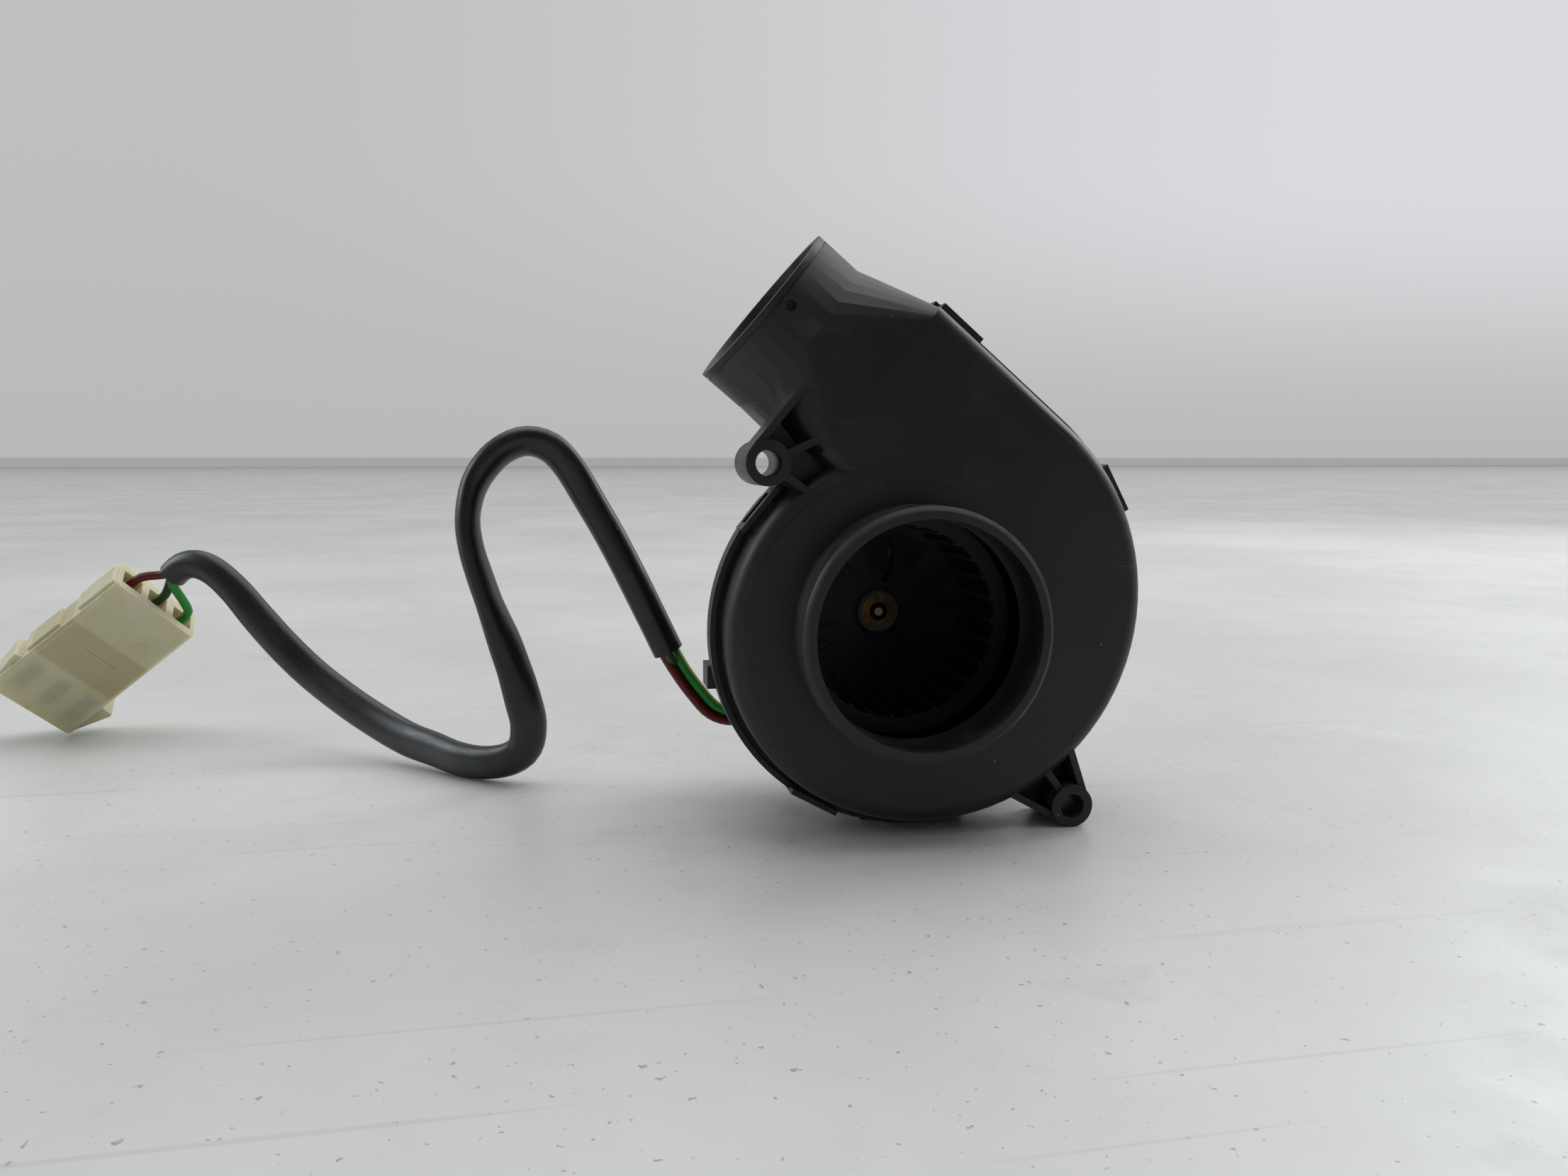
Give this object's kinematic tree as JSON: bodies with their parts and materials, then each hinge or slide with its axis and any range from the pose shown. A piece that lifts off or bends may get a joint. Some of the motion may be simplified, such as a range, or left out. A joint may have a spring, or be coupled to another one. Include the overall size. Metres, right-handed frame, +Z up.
{
  "type": "dc blower fan",
  "caption": "Small centrifugal blower with a scroll housing, round inlet collar and outlet nozzle, screw ears, forward-curved impeller on a brushless motor, and a sleeved lead with a connector.",
  "frame": {"origin": "centre of the inlet collar's mouth, on the fan axis", "axes": "+Y along the fan axis into the housing, +Z up as the blower stands, +X to the right seen from the inlet side"},
  "size_m": [0.229, 0.1235, 0.1019],
  "materials": {
    "front_cover": "moulded glass-filled nylon, fine matt grain, rubbed shiny on the shoulders",
    "rear_shell": "moulded glass-filled nylon, fine matt grain",
    "motor_base": "moulded glass-filled nylon, matt",
    "motor_screws": "zinc-plated steel",
    "impeller": "moulded nylon, matt",
    "hub_bush": "turned brass, dulled",
    "shaft": "ground steel",
    "rotor_cup": "drawn steel, zinc plated",
    "ring_magnet": "plastic-bonded ferrite",
    "retaining_clip": "spring steel",
    "bearing_tube": "turned brass",
    "front_bearing": "sintered bronze, oiled",
    "rear_bearing": "sintered bronze, oiled",
    "thrust_washers": "nylon",
    "stator_core": "stacked electrical steel sheet",
    "stator_insulators": "moulded nylon",
    "stator_windings": "enamelled copper wire",
    "circuit_board": "glass-epoxy board with solder mask",
    "hall_sensor": "moulded epoxy",
    "driver_chip": "moulded epoxy",
    "capacitor": "ceramic chip",
    "cable_grommet": "moulded rubber, matt",
    "wire_brown": "PVC insulation, satin",
    "wire_green": "PVC insulation, satin",
    "wire_green_yellow": "PVC insulation with a lengthwise stripe, satin",
    "cable_sleeve": "soft PVC sleeve, satin, flattened",
    "connector_housing": "natural nylon, slightly see-through",
    "connector_contacts": "tinned brass"
  },
  "bodies": {
    "housing": {"front_cover": "front_cover", "rear_shell": "rear_shell", "motor_base": "motor_base", "motor_screws": "motor_screws", "bearing_tube": "bearing_tube", "front_bearing": "front_bearing", "rear_bearing": "rear_bearing", "thrust_washers": "thrust_washers", "stator_core": "stator_core", "stator_insulators": "stator_insulators", "stator_windings": "stator_windings", "circuit_board": "circuit_board", "hall_sensor": "hall_sensor", "driver_chip": "driver_chip", "capacitor": "capacitor", "cable_grommet": "cable_grommet", "wire_brown": "wire_brown", "wire_green": "wire_green", "wire_green_yellow": "wire_green_yellow", "cable_sleeve": "cable_sleeve", "connector_housing": "connector_housing", "connector_contacts": "connector_contacts"},
    "rotor": {"impeller": "impeller", "hub_bush": "hub_bush", "shaft": "shaft", "rotor_cup": "rotor_cup", "ring_magnet": "ring_magnet", "retaining_clip": "retaining_clip"}
  },
  "joints": [
    {"name": "rotor_spin", "type": "hinge", "parent": "housing", "child": "rotor", "pos_m": [0, 0.03, 0], "axis": [0, 1, 0], "continuous": true}
  ]
}
